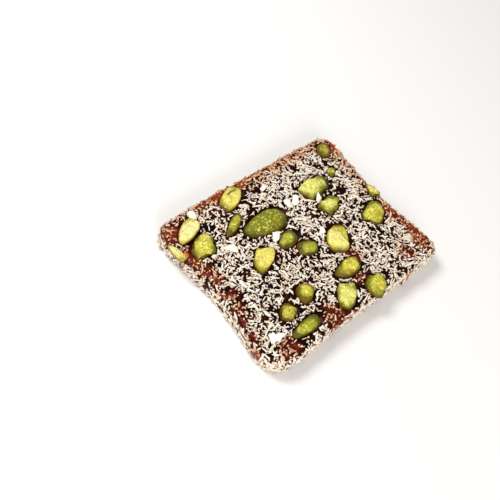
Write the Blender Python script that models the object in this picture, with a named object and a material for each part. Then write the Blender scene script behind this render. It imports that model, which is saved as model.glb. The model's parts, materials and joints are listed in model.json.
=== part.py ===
"""Cezerye: one slab of caramelised carrot jelly with pistachio kernels, coated in shredded coconut.

The slab lies flat on its underside, with the side that shows most kernels up. X runs along its length,
Y across it and Z up, all in metres, and the origin is the middle of the underside.
"""

import math
import random

import bmesh
import bpy
from mathutils import Matrix, Vector, noise
from mathutils.bvhtree import BVHTree

MM = 0.001
SEED = 38
UP = Vector((0, 0, 1))

# The slab: how far its ends (-X and +X) and its long sides lie from the middle, and how they bow
HALF_LENGTH = {-1: 41.4 * MM, 1: 41.8 * MM}
HALF_WIDTH = 31.6 * MM
THICKNESS = 8.4 * MM
CORNER_RADIUS = {(-1, 1): 5.0 * MM, (1, 1): 5.0 * MM, (1, -1): 4.0 * MM, (-1, -1): 8.0 * MM}
END_HOLLOW = {-1: 2.5 * MM, 1: 1.9 * MM}
FAR_SIDE_BOW = 0.9 * MM
SIDE_WAVE = 0.45 * MM
SIDE_WAVE_LENGTH = 9.0 * MM
RELIEF = 0.45 * MM
RELIEF_LENGTH = 11.0 * MM
GRID_CELLS = (18, 14)
# Each ring down the side: how far it lies inside the outline, and its height as a share of the thickness
SIDE_RINGS = ((1.3 * MM, 0.985), (0.25 * MM, 0.86), (0.1 * MM, 0.12), (0.9 * MM, 0.0))

# Kernels in the top: centre x and y, length and width in mm, turn from X in degrees, and kind
TOP_KERNELS = (
    (-10.5, 27.5, 12.5, 7.0, 27, "split"),
    (-17.8, 18.0, 11.0, 4.5, 208, "whole"),
    (-7.7, 12.9, 18.3, 9.7, 178, "whole"),
    (-31.0, 16.5, 10.5, 7.5, 58, "rough"),
    (-32.6, 24.9, 13.6, 5.8, 206, "cut"),
    (-40.8, 19.0, 9.0, 3.0, 98, "cut"),
    (-17.5, 1.5, 12.0, 7.5, 218, "cut"),
    (-5.3, 2.6, 9.0, 5.7, 192, "whole"),
    (-1.1, -4.1, 8.5, 5.5, 161, "rough"),
    (10.7, -7.2, 12.0, 9.0, 51, "split"),
    (18.0, 5.3, 10.0, 7.0, 5, "rough"),
    (19.0, 14.5, 14.5, 8.5, -2, "rough"),
    (31.0, -6.5, 11.5, 8.5, 27, "rough"),
    (38.1, 1.0, 7.5, 4.5, 74, "rough"),
    (5.4, -17.2, 12.0, 6.8, 184, "whole"),
    (-3.0, -25.2, 11.0, 8.2, 223, "rough"),
    (9.2, -27.8, 10.0, 7.5, 225, "rough"),
    (-14.5, -16.5, 8.5, 6.7, 228, "whole"),
    (-24.0, -18.3, 7.5, 6.0, 83, "rough"),
    (-22.5, -25.5, 12.0, 5.5, 179, "whole"),
    (35.5, 26.0, 7.0, 5.5, 52, "whole"),
    (30.5, 16.5, 5.0, 3.8, 27, "whole"),
)
# Kernels cut through by the two far sides: place on the unit square's edge, length and width in mm
SIDE_KERNELS = ((-0.52, 1, 10.0, 5.5), (0.3, 1, 8.5, 5.0), (1, -0.55, 9.0, 5.5), (1, 0.42, 8.0, 5.0))
SIDE_KERNEL_PROUD = 0.45 * MM
# Kernels that lie against the underside
BASE_KERNELS = 12
BASE_LENGTH = (8.0, 14.0)
BASE_WIDTH = (4.8, 6.6)
BASE_REACH = 0.76
BASE_RISE = 0.3 * MM
BASE_RECESS = 0.12 * MM
BASE_CLEARANCE = 1.4 * MM

# How a kernel is shaped, as shares of its own width or length
KERNEL_HEIGHT = 0.74
KERNEL_PROUD = 0.21
POINTED_END = {"whole": 0.25, "rough": 0.1, "cut": 0.2, "split": 0.08}
FULLNESS = 2.3
BUMPS = {"whole": 0.10, "rough": 0.30, "cut": 0.12, "split": 0.12}
BUMP_SCALE = 1.3
BUMP_SHIFT = 9
CREASE_DEPTH = 0.3
CREASE_HALF_WIDTH = 0.35
KERNEL_TILT = 0.1
POCKET_GAP = 0.45 * MM
# A kernel's cut face and cut end: how far from its middle, as a share of its half size, and how they lean
CUT_FACE_HEIGHT = 0.62
CUT_FACE_LEAN = 0.1
CUT_END = 0.72
CUT_END_TURN = 0.35
CUT_END_LEAN = (-0.1, 0.3)
CUT_TOLERANCE = 0.001 * MM
# Segments round and along a kernel, for the large ones and for those narrower than SMALL_WIDTH
SEGMENTS = (10, 6)
SMALL_SEGMENTS = (8, 5)
SMALL_WIDTH = 6.7

# The larger coconut shreds, which are fused to the slab; the ranges are the shortest and the longest
TOP_SHREDS = 110
SIDE_SHREDS = 50
SHRED_LENGTH = (2.8 * MM, 5.0 * MM)
SHRED_WIDTH = (0.9 * MM, 1.6 * MM)
SHRED_THICKNESS = (0.6 * MM, 0.85 * MM)
SHRED_RISE = 0.1 * MM
SHRED_BEND = 0.16
SHRED_TIP = 0.45
SHRED_CUTS = 1
SHRED_CLEARANCE = 0.7 * MM
SHRED_SIDE_HEIGHTS = (0.3, 0.8)
SHRED_TOP_REACH = 0.97
TRIES = 14
# Bare places in the coconut: centre x and y, and radius, in mm
BARE_PLACES = (
    (-12.5, 32.5, 6.0), (-2.5, 33.0, 4.0), (-38.0, 27.0, 4.0), (-38.0, 14.0, 4.0), (-37.5, 1.0, 3.0),
    (-36.5, -5.0, 3.0), (-38.5, -12.0, 3.5), (-32.5, -28.0, 3.5), (-12.0, -28.5, 4.5), (7.0, -22.7, 2.5),
    (38.5, -8.0, 4.0), (37.5, -25.0, 4.0), (29.0, -25.0, 3.5), (10.5, -15.0, 3.0), (39.5, 24.5, 3.0),
)


def clear_scene():
    for thing in list(bpy.data.objects):
        bpy.data.objects.remove(thing, do_unlink=True)


def new_collection(name):
    group = bpy.data.collections.new(name)
    bpy.context.scene.collection.children.link(group)
    return group


def linear(value):
    """A screen colour value from 0 to 255 as the linear value that a shader takes."""
    share = value / 255
    return share / 12.92 if share <= 0.04045 else ((share + 0.055) / 1.055) ** 2.4


def make_material(name, screen_colour, roughness):
    material = bpy.data.materials.new(name)
    material.use_nodes = True
    shader = material.node_tree.nodes["Principled BSDF"]
    colour = (*(linear(value) for value in screen_colour), 1.0)
    shader.inputs["Base Color"].default_value = colour
    shader.inputs["Roughness"].default_value = roughness
    shader.inputs["Metallic"].default_value = 0.0
    material.diffuse_color = colour
    return material


def to_object(mesh, name, group, material):
    """The bmesh as a named object in a collection, with its faces pointing out."""
    bmesh.ops.recalc_face_normals(mesh, faces=mesh.faces)
    data = bpy.data.meshes.new(name)
    mesh.to_mesh(data)
    mesh.free()
    data.materials.append(material)
    thing = bpy.data.objects.new(name, data)
    group.objects.link(thing)
    return thing


def outline(u, v):
    """The slab's outline at the point (u, v) of the unit square's edge."""
    corner = (int(math.copysign(1, u)), int(math.copysign(1, v)))
    radius = CORNER_RADIUS[corner]
    half_length = HALF_LENGTH[corner[0]]
    point = Vector((u * half_length, v * HALF_WIDTH))
    centre = Vector((corner[0] * (half_length - radius), corner[1] * (HALF_WIDTH - radius)))
    out = point - centre
    if out.x * corner[0] > 0 and out.y * corner[1] > 0:
        point = centre + out.normalized() * radius
    point.x -= corner[0] * END_HOLLOW[corner[0]] * (1 - v * v) ** 2
    if v > 0:
        point.y += FAR_SIDE_BOW * (1 - u * u)
    wave = SIDE_WAVE * noise.noise(Vector((point.x, point.y, 0)) / SIDE_WAVE_LENGTH)
    return point + point.normalized() * wave


def relief(x, y):
    """How far the top stands above or below its mean height."""
    return RELIEF * noise.noise(Vector((x, y, 0)) / RELIEF_LENGTH)


def slab_point(u, v, ring):
    """Where a point of the unit grid lies: ring 0 is the top, and later rings go down the side."""
    reach = max(abs(u), abs(v))
    if reach == 0:
        return Vector((0, 0, THICKNESS + relief(0, 0)))
    edge = outline(u / reach, v / reach)
    inset, height = SIDE_RINGS[ring]
    place = edge * reach * (1 - inset / edge.length)
    level = THICKNESS * height
    if ring == 0:
        level = THICKNESS + relief(*place)
        if reach == 1:
            level -= THICKNESS * (1 - height)
    return Vector((place.x, place.y, level))


def make_slab(group, material):
    """A grid for the top, its rim drawn down in rings for the side, and one flat face below."""
    mesh = bmesh.new()
    bmesh.ops.create_grid(mesh, x_segments=GRID_CELLS[0], y_segments=GRID_CELLS[1], size=1)
    rim = [edge for edge in mesh.edges if edge.is_boundary]
    for ring in range(1, len(SIDE_RINGS)):
        drawn = bmesh.ops.extrude_edge_only(mesh, edges=rim)["geom"]
        for part in drawn:
            if isinstance(part, bmesh.types.BMVert):
                part.co.z = -ring
        rim = [part for part in drawn if isinstance(part, bmesh.types.BMEdge) and part.is_boundary]
    bmesh.ops.holes_fill(mesh, edges=rim, sides=len(rim))
    for vert in mesh.verts:
        vert.co = slab_point(vert.co.x, vert.co.y, round(-vert.co.z))
    return to_object(mesh, "slab", group, material)


def cut_flat(mesh, point, normal):
    """Takes off what lies beyond a plane, and closes the body with a flat face."""
    everything = mesh.verts[:] + mesh.edges[:] + mesh.faces[:]
    cut = bmesh.ops.bisect_plane(
        mesh, geom=everything, dist=CUT_TOLERANCE, plane_co=point, plane_no=normal, clear_outer=True
    )
    edges = [part for part in cut["geom_cut"] if isinstance(part, bmesh.types.BMEdge)]
    if edges:
        bmesh.ops.holes_fill(mesh, edges=edges, sides=len(edges))


def kernel_mesh(length, width, kind, draw):
    """A kernel that lies along X, round its own middle: one end pointed, and its skin uneven."""
    sides, rings = SEGMENTS if width >= SMALL_WIDTH else SMALL_SEGMENTS
    mesh = bmesh.new()
    bmesh.ops.create_uvsphere(mesh, u_segments=sides, v_segments=rings, radius=1.0)
    bmesh.ops.rotate(mesh, verts=mesh.verts, matrix=Matrix.Rotation(math.pi / 2, 3, "Y"))
    shift = Vector([draw.uniform(-BUMP_SHIFT, BUMP_SHIFT) for _ in range(3)])
    half = Vector((length, width, width * KERNEL_HEIGHT)) * MM / 2
    for vert in mesh.verts:
        full = sum(abs(part) ** FULLNESS for part in vert.co) ** (1 / FULLNESS)
        x, y, z = vert.co / full
        swell = 1 + BUMPS[kind] * noise.noise(vert.co * BUMP_SCALE + shift)
        narrow = 1 - POINTED_END[kind] * x
        if kind == "split" and z > 0 and abs(y) < CREASE_HALF_WIDTH:
            z -= CREASE_DEPTH
        vert.co = Vector((x * half.x, y * half.y * narrow, z * half.z * narrow)) * swell
    if kind == "cut":
        leans = [draw.uniform(-CUT_FACE_LEAN, CUT_FACE_LEAN) for _ in range(2)]
        cut_flat(mesh, Vector((0, 0, CUT_FACE_HEIGHT * half.z)), Vector((*leans, 1)).normalized())
    if kind in ("cut", "rough"):
        slant = Vector((-1, draw.uniform(-CUT_END_TURN, CUT_END_TURN), draw.uniform(*CUT_END_LEAN)))
        cut_flat(mesh, Vector((-CUT_END * half.x, 0, 0)), slant.normalized())
    bmesh.ops.triangulate(mesh, faces=mesh.faces)
    return mesh


def stand(mesh, centre, up, turn):
    """Turns a mesh about its own height, stands that height along up, and moves the mesh to its place."""
    lean = UP.rotation_difference(up).to_matrix().to_4x4()
    pose = Matrix.Translation(centre) @ lean @ Matrix.Rotation(turn, 4, "Z")
    bmesh.ops.transform(mesh, verts=mesh.verts, matrix=pose)


def make_pocket(mesh, centre, name, group, material):
    """A cutter for the hole that a kernel sits in: the kernel, grown away from its centre."""
    pocket = mesh.copy()
    for vert in pocket.verts:
        vert.co += (vert.co - centre).normalized() * POCKET_GAP
    cutter = to_object(pocket, name, group, material)
    cutter.hide_render = True
    cutter.display_type = "WIRE"


def surface_of(things):
    """A search tree over the faces of some objects."""
    corners = []
    faces = []
    for thing in things:
        first = len(corners)
        corners += [vert.co.copy() for vert in thing.data.vertices]
        faces += [[first + index for index in face.vertices] for face in thing.data.polygons]
    return BVHTree.FromPolygons(corners, faces)


def make_top_kernels(groups, looks, draw):
    kernels = []
    for number, (x, y, length, width, turn, kind) in enumerate(TOP_KERNELS, 1):
        mesh = kernel_mesh(length, width, kind, draw)
        lean = Vector((draw.uniform(-1, 1) * KERNEL_TILT, draw.uniform(-1, 1) * KERNEL_TILT, 1))
        height = THICKNESS + (KERNEL_PROUD - KERNEL_HEIGHT / 2) * width * MM
        centre = Vector((x * MM, y * MM, height))
        stand(mesh, centre, lean.normalized(), math.radians(turn))
        make_pocket(mesh, centre, f"pocket_top_{number:02d}", groups["pockets"], looks["rough"])
        kernels.append(to_object(mesh, f"pistachio_top_{number:02d}", groups["parts"], looks[kind]))
    return kernels


def make_side_kernels(groups, looks, draw):
    kernels = []
    for number, (u, v, length, width) in enumerate(SIDE_KERNELS, 1):
        mesh = kernel_mesh(length, width, "cut", draw)
        out = Vector((0, 1, 0)) if v == 1 else Vector((1, 0, 0))
        turn = 0 if v == 1 else math.pi / 2
        edge = outline(u, v)
        face = CUT_FACE_HEIGHT * KERNEL_HEIGHT / 2 * width * MM
        centre = Vector((edge.x, edge.y, THICKNESS / 2)) - out * (face - SIDE_KERNEL_PROUD)
        stand(mesh, centre, out, turn)
        make_pocket(mesh, centre, f"pocket_side_{number:02d}", groups["pockets"], looks["rough"])
        kernels.append(to_object(mesh, f"pistachio_side_{number:02d}", groups["parts"], looks["cut"]))
    return kernels


def farthest(options, taken):
    """Of some places, the one that lies farthest from all those already taken."""
    if not taken:
        return options[0]
    return max(options, key=lambda place: min((place - other).length for other in taken))


def make_base_kernels(groups, looks, draw, above):
    """Kernels against the underside, spread evenly, and clear of those that come down from the top."""
    tree = surface_of(above)
    kernels = []
    places = []
    while len(kernels) < BASE_KERNELS:
        options = []
        for _ in range(TRIES):
            x = draw.uniform(-1, 1) * BASE_REACH * HALF_LENGTH[1]
            y = draw.uniform(-1, 1) * BASE_REACH * HALF_WIDTH
            options.append(Vector((x, y, BASE_RISE)))
        centre = farthest(options, places)
        places.append(centre)
        mesh = kernel_mesh(draw.uniform(*BASE_LENGTH), draw.uniform(*BASE_WIDTH), "whole", draw)
        stand(mesh, centre, -UP, draw.uniform(0, math.pi))
        if min(tree.find_nearest(vert.co)[3] for vert in mesh.verts) < BASE_CLEARANCE:
            mesh.free()
            continue
        number = len(kernels) + 1
        make_pocket(mesh, centre, f"pocket_base_{number:02d}", groups["pockets"], looks["rough"])
        cut_flat(mesh, Vector((0, 0, BASE_RECESS)), -UP)
        kernels.append(to_object(mesh, f"pistachio_base_{number:02d}", groups["parts"], looks["whole"]))
    return kernels


def shred_mesh(size, draw):
    """A strip of coconut along X: a bar that bends to one side and narrows to its ends."""
    length = SHRED_LENGTH[0] + size * (SHRED_LENGTH[1] - SHRED_LENGTH[0])
    width = draw.uniform(*SHRED_WIDTH)
    thickness = draw.uniform(*SHRED_THICKNESS)
    bend = draw.uniform(-1, 1) * SHRED_BEND * length
    mesh = bmesh.new()
    bmesh.ops.create_cube(mesh, size=2)
    long_edges = [edge for edge in mesh.edges if abs(edge.verts[0].co.x - edge.verts[1].co.x) > 1]
    bmesh.ops.subdivide_edges(mesh, edges=long_edges, cuts=SHRED_CUTS, use_grid_fill=True)
    for vert in mesh.verts:
        x, y, z = vert.co
        narrow = 1 - SHRED_TIP * x * x
        vert.co = Vector((x * length, y * width * narrow, z * thickness * narrow)) / 2
        vert.co.y += bend * x * x
    return mesh


def is_bare(place):
    return any(math.hypot(place.x - x * MM, place.y - y * MM) < radius * MM for x, y, radius in BARE_PLACES)


def draw_top_place(draw):
    u = draw.uniform(-SHRED_TOP_REACH, SHRED_TOP_REACH)
    v = draw.uniform(-SHRED_TOP_REACH, SHRED_TOP_REACH)
    half_length = HALF_LENGTH[-1] if u < 0 else HALF_LENGTH[1]
    return Vector((u * half_length, v * HALF_WIDTH, THICKNESS))


def draw_side_place(draw):
    along = draw.uniform(-1, 1)
    end = draw.choice((-1, 1))
    on_end = draw.random() < HALF_WIDTH / (HALF_LENGTH[1] + HALF_WIDTH)
    edge = outline(end, along) if on_end else outline(along, end)
    return Vector((edge.x, edge.y, THICKNESS * draw.uniform(*SHRED_SIDE_HEIGHTS)))


def scatter_shreds(count, draw_place, slab_tree, kernel_tree, group, material, draw):
    """Shreds on the slab's surface, the largest first, each as far as it can be from those before it."""
    places = []
    while len(places) < count:
        options = []
        while len(options) < TRIES:
            place, normal, _, _ = slab_tree.find_nearest(draw_place(draw))
            if not is_bare(place):
                options.append((place, normal))
        far = farthest([place for place, _ in options], places)
        normal = next(normal for place, normal in options if place == far)
        mesh = shred_mesh(1 - len(places) / count, draw)
        stand(mesh, far + normal * SHRED_RISE, normal, draw.uniform(0, math.pi))
        near = min(kernel_tree.find_nearest(vert.co)[3] for vert in mesh.verts)
        if near < SHRED_CLEARANCE or min(vert.co.z for vert in mesh.verts) < SHRED_RISE:
            mesh.free()
            continue
        places.append(far)
        to_object(mesh, f"shred_{len(group.objects):03d}", group, material)


def add_boolean(target, operation, group):
    change = target.modifiers.new(operation.title(), "BOOLEAN")
    change.operation = operation
    change.solver = "EXACT"
    change.operand_type = "COLLECTION"
    change.collection = group
    return change


def fuse(target, group):
    """Joins a collection's objects to the target, and removes them."""
    change = add_boolean(target, "UNION", group)
    with bpy.context.temp_override(object=target):
        bpy.ops.object.modifier_apply(modifier=change.name)
    for thing in list(group.objects):
        bpy.data.objects.remove(thing, do_unlink=True)
    bpy.data.collections.remove(group)


def main():
    clear_scene()
    draw = random.Random(SEED)
    groups = {"parts": new_collection("cezerye"), "pockets": new_collection("pockets")}
    coconut = make_material("coconut_on_jelly", (168, 148, 126), 0.6)
    looks = {
        "whole": make_material("pistachio_green", (158, 153, 58), 0.4),
        "rough": make_material("pistachio_yellow_green", (194, 184, 86), 0.45),
        "cut": make_material("pistachio_cut", (230, 213, 112), 0.5),
        "split": make_material("pistachio_split", (227, 210, 108), 0.5),
    }
    slab = make_slab(groups["parts"], coconut)
    kernels = make_top_kernels(groups, looks, draw)
    kernels += make_side_kernels(groups, looks, draw)
    kernels += make_base_kernels(groups, looks, draw, kernels)

    shreds = new_collection("shreds")
    slab_tree = surface_of([slab])
    kernel_tree = surface_of(kernels)
    scatter_shreds(TOP_SHREDS, draw_top_place, slab_tree, kernel_tree, shreds, coconut, draw)
    scatter_shreds(SIDE_SHREDS, draw_side_place, slab_tree, kernel_tree, shreds, coconut, draw)
    fuse(slab, shreds)
    add_boolean(slab, "DIFFERENCE", groups["pockets"])


main()
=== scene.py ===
"""The looks of a cezerye slab: glossy carrot jelly, pistachio kernels and a coat of shredded coconut.

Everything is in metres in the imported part's own frame: X along the slab, Y across it and Z up from the
underside.
"""

import json
import math
from collections import namedtuple

import bmesh
import bpy
import numpy as np
from mathutils import Matrix, Vector, noise
from mathutils.bvhtree import BVHTree


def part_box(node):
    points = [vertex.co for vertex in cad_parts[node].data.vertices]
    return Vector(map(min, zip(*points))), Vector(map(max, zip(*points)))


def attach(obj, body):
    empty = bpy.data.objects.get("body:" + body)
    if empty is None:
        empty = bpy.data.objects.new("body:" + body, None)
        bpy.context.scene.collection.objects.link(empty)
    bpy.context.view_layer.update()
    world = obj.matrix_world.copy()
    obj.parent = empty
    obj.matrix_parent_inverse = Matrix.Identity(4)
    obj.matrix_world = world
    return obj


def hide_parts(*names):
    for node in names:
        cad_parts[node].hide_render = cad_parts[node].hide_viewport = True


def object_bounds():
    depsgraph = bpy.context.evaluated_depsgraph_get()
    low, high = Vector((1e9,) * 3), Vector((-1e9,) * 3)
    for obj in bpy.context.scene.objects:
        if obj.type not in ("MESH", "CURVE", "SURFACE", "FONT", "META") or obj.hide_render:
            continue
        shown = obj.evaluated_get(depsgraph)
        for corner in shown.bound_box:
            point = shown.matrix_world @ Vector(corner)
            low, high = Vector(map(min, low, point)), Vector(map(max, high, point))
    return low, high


MM = 0.001
SEED = 7
UP = Vector((0, 0, 1))
ROOT = "root"

# The camera, as fitted to the outline of the slab
CAMERA_PLACE = Vector((-125.1, -61.0, 190.2)) * MM
CAMERA_AZIMUTH = math.radians(-57.33)
CAMERA_ELEVATION = math.radians(55.41)
CAMERA_ROLL = math.radians(20.27)
PICTURE_SIDE = 500
FOCAL_PIXELS = 650.2
SENSOR = 36.0

# The studio: the sky's colour and strength, and the floor
SKY = (1.0, 0.985, 0.96)
SKY_STRENGTH = 0.45
FILL_TINT = (1.0, 0.95, 0.9)
FLOOR_SIDE = 4.0
FLOOR_GREY = 0.86
FLOOR_ROUGHNESS = 0.7

# The slab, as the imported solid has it
HALF_LENGTH = {-1: 41.4 * MM, 1: 41.8 * MM}
HALF_WIDTH = 31.6 * MM
THICKNESS = 8.4 * MM
CORNER_RADIUS = {(-1, 1): 5.0 * MM, (1, 1): 5.0 * MM, (1, -1): 4.0 * MM, (-1, -1): 8.0 * MM}
END_HOLLOW = {-1: 2.5 * MM, 1: 1.9 * MM}
FAR_SIDE_BOW = 0.9 * MM
SIDE_WAVE = 0.45 * MM
SIDE_WAVE_LENGTH = 9.0 * MM
RELIEF = 0.45 * MM
RELIEF_LENGTH = 11.0 * MM

# The jelly under the coconut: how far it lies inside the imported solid, how its edges are rounded, how fine
# its mesh is, and the strength and size of each noise on it
COAT = 0.8 * MM
COAT_BELOW = 0.4 * MM
FLOOR_GAP = 0.02 * MM
TOP_ROUND = 1.1 * MM
BASE_ROUND = 0.9 * MM
CORE_CELLS = (190, 146)
CORE_SIDE_CUTS = 11
CORE_BUMPS = ((0.35 * MM, 2.6 * MM), (0.16 * MM, 0.9 * MM))
BUMPS_ABOVE = 2 * COAT_BELOW
# From what height of the unit box, which goes from -1 to 1, a point belongs to the top
TOP_LEVEL = 0.99
# How much the jelly reflects under the coconut, and where it is more open than all down the sides
COVERED_SPECULAR = 0.05
BARE_SPECULAR = 0.2
# The groove in the jelly round each kernel
GROOVE_DEPTH = 0.5 * MM
GROOVE_WIDTH = 0.55 * MM
# How open the jelly looks all down the sides, and how far below the top the sides start: the first where the
# jelly looks thick, and the second where it looks thin
SIDE_BARE = 0.6
SIDE_START = (1.1 * MM, 1.8 * MM)
# The amber rim of the top, where the jelly looks thin: from what share of the way to the outline, how open
# it looks there, how it fades down the side, and how it grows from the near left corner to the far right one
EDGE_START = 0.78
EDGE_BARE = 0.4
EDGE_FADE = (2, 0.8)
EDGE_GROWTH = (0.6, 0.5)

# Bare places, where the jelly shows: centre x and y, and radius, in mm
BARE_PLACES = (
    (-12.5, 32.5, 6.5), (-2.5, 32.5, 3.5), (4.0, 32.5, 2.0), (-20.0, 32.5, 2.5), (-38.0, 27.0, 4.0),
    (-38.0, 14.0, 4.0), (-37.0, 8.0, 2.4), (-35.8, 3.5, 2.4), (-36.1, -2.5, 2.6), (-37.2, -8.0, 2.4),
    (-38.8, -13.0, 2.2), (-39.6, -18.0, 1.8), (-32.5, -28.0, 3.5), (-12.0, -28.5, 4.5), (7.0, -22.7, 2.5),
    (37.8, -9.0, 4.0), (38.5, -14.5, 3.5), (39.0, -20.0, 3.5), (37.5, -25.0, 4.0), (29.0, -25.0, 3.5),
    (10.5, -15.0, 3.0), (39.5, 24.5, 3.0),
)
# Bare places of the sides, in the same way
BARE_SIDES = (
    (-41.2, -22.5, 2.3), (-13.0, -31.5, 1.6), (24.0, -31.6, 1.8), (39.9, 6.0, 3.0), (20.0, 32.3, 3.5),
    (-24.0, 32.0, 3.0),
)
# By what share the radius of a bare place wobbles, with noise of what size. The bareness is the first number
# of the fade less the second for each radius of the way out.
BARE_WOBBLE = 0.6
BARE_WOBBLE_LENGTH = 3 * MM
BARE_FADE = (1.6, 1.1)

Layer = namedtuple("Layer", "cell rise length spread widths stain bare_share")
# The layers of coconut: side of the scatter's cells, how high it lies, middle and spread of a shred's
# length, range of its width, how much the jelly stains it, and the share of it that stays in a bare place
LOWER = Layer(0.99 * MM, 0.0, 1.15 * MM, 0.35, (0.28 * MM, 0.54 * MM), 0.4, 0.35)
UPPER = Layer(1.27 * MM, 0.35 * MM, 1.7 * MM, 0.4, (0.31 * MM, 0.6 * MM), 0.08, 0.08)
CRUMBS = Layer(1.15 * MM, 0.1 * MM, 0.65 * MM, 0.4, (0.3 * MM, 0.6 * MM), 0.2, 0.95)
SIDE_LAYERS = (
    Layer(1.3 * MM, 0.0, 1.3 * MM, 0.35, (0.4 * MM, 0.75 * MM), 0.45, 0.3),
    Layer(1.45 * MM, 0.35 * MM, 2.0 * MM, 0.35, (0.45 * MM, 0.9 * MM), 0.15, 0.15),
    Layer(1.9 * MM, 0.2 * MM, 0.6 * MM, 0.3, (0.3 * MM, 0.6 * MM), 0.4, 0.6),
)
# The mean cover of the top and of the sides, and the strength and size of each noise that makes it uneven
COVER = 0.575
SIDE_COVER = 0.8
COVER_NOISES = ((0.45, 5.0 * MM), (0.9, 1.3 * MM))
# How much more the jelly stains a shred in a bare place, or where the jelly looks thin
WET_STAIN = 0.75

# A shred's shape. Its rings lie at these shares of the way from its middle to its ends, narrowed or widened
# by a draw from these ranges, and each corner is then moved along by up to RING_SHIFT.
LONGEST = 3.8 * MM
SHRED_THICKNESS = (0.16 * MM, 0.36 * MM)
RING_PLACES = (-1.0, -0.42, 0.42, 1.0)
RING_NARROWS = ((0.05, 0.75), (0.7, 1.25), (0.7, 1.25), (0.05, 0.75))
RING_SHIFT = 0.2
CORNER_WIDTHS = (0.6, 1.4)
THINNEST = 0.5
SHARP_ANGLE = math.radians(50)
# The spread of its sideways bend and its upward arch, as shares of its length, and of its twist in radians
BEND = 0.08
ARCH = 0.06
TWIST = 0.4

# How a shred lies: where it is held up, as a share of its length from its middle, how much higher than its
# layer it may be, how steep it may be, and how near to a kernel
HELD_AT = 0.42
LIFT = (0, 0.25 * MM)
SIDE_LIFT = (0.1 * MM, 0.3 * MM)
STEEPEST = 0.75
KERNEL_CLEARANCE = 0.3 * MM
# The share of the shreds at the kernels that lie on them, and how far towards its rim the base has shreds
ON_KERNEL_SHARE = 0.002
BASE_REACH = 0.97
# How far from the middle the scatter over the top reaches, as a share of half the slab's size
SCATTER_REACH = 1.1

# Chips of coconut that stand out by their size: centre x and y in mm, length in mm, and turn in degrees
CHIPS = (
    (-28.2, 32.0, 4.2, 10), (-27.5, 29.0, 3.6, 70), (8.4, 13.4, 5.2, 40), (5.5, 14.0, 3.8, 100),
    (-24.3, 10.8, 4.6, -40), (-8.0, 5.9, 4.6, 30), (-32.6, -23.4, 4.4, 0), (-34.9, -22.6, 3.4, 60),
    (-29.9, -2.2, 3.4, 90), (2.5, 24.7, 3.2, 20), (8.3, -1.4, 3.4, 50), (17.0, 10.0, 4.0, 60),
    (34.1, -21.6, 3.4, 10),
)
CHIP_WIDTH = 0.5
CHIP_THICKNESS = 0.35 * MM
CHIP_RISE = 0.45 * MM

# Beads of clear jelly: centre x and y and diameter in mm, and how many smaller ones lie in the bare places
BEADS = (
    (-38.8, 17.4, 2.4), (-36.9, 19.6, 1.3), (-39.8, 14.6, 1.4), (-37.6, 28.6, 1.5), (-34.9, 30.6, 1.2),
    (38.6, -9.6, 1.5), (39.3, -6.4, 1.2), (37.2, -24.2, 1.6), (-12.6, -28.0, 1.4), (8.2, -22.9, 1.2),
)
SMALL_BEADS = 110
SMALL_BEAD = (0.5 * MM, 1.0 * MM)
BEAD_HEIGHT = 0.6
# How uneven a bead is, by noise of what size as a share of its own
BEAD_NOISE = 0.25
BEAD_NOISE_LENGTH = 0.6

# Colours, as screen values from 0 to 255
PALETTE = {
    "pale": (250, 238, 160),
    "cream": (242, 230, 134),
    "pear": (234, 232, 120),
    "butter": (236, 220, 106),
    "lemon": (212, 202, 66),
    "lime": (178, 176, 48),
    "leaf": (132, 134, 20),
    "moss": (94, 98, 8),
    "olive": (112, 98, 12),
}


def linear(value):
    """A screen colour value from 0 to 255 as the linear value that a shader takes."""
    share = value / 255
    return share / 12.92 if share <= 0.04045 else ((share + 0.055) / 1.055) ** 2.4


def colour(red, green, blue):
    """An opaque shader colour from screen values."""
    return (linear(red), linear(green), linear(blue), 1.0)


def mix(low, high, share):
    """The value that lies a share of the way from low to high."""
    return low + (high - low) * share


def clamp(value):
    """The nearest value from 0 to 1."""
    return min(1.0, max(0.0, value))


def make_camera():
    """The photo's camera: its place, its direction, its roll and its lens."""
    flat = math.cos(CAMERA_ELEVATION)
    back = Vector((
        math.sin(CAMERA_AZIMUTH) * flat,
        -math.cos(CAMERA_AZIMUTH) * flat,
        math.sin(CAMERA_ELEVATION),
    ))
    right = (-back).cross(UP).normalized()
    roll = Matrix.Rotation(CAMERA_ROLL, 3, back)
    right = roll @ right
    up = back.cross(right)
    data = bpy.data.cameras.new("camera")
    data.sensor_width = SENSOR
    data.lens = FOCAL_PIXELS / PICTURE_SIDE * SENSOR
    data.clip_start = 1 * MM
    camera = bpy.data.objects.new("camera", data)
    turn = Matrix((right, up, back)).transposed()
    camera.matrix_world = Matrix.Translation(CAMERA_PLACE) @ turn.to_4x4()
    bpy.context.scene.collection.objects.link(camera)
    bpy.context.scene.camera = camera


def make_light(name, azimuth, elevation, distance, size, power, tint):
    """A square light that faces the slab from an azimuth and elevation in degrees."""
    data = bpy.data.lights.new(name, "AREA")
    data.size = size
    data.energy = power
    data.color = tint
    light = bpy.data.objects.new(name, data)
    flat = math.cos(math.radians(elevation))
    away = Vector((
        math.cos(math.radians(azimuth)) * flat,
        math.sin(math.radians(azimuth)) * flat,
        math.sin(math.radians(elevation)),
    ))
    light.location = away * distance
    light.rotation_mode = "QUATERNION"
    light.rotation_quaternion = away.to_track_quat("Z", "Y")
    bpy.context.scene.collection.objects.link(light)


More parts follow.
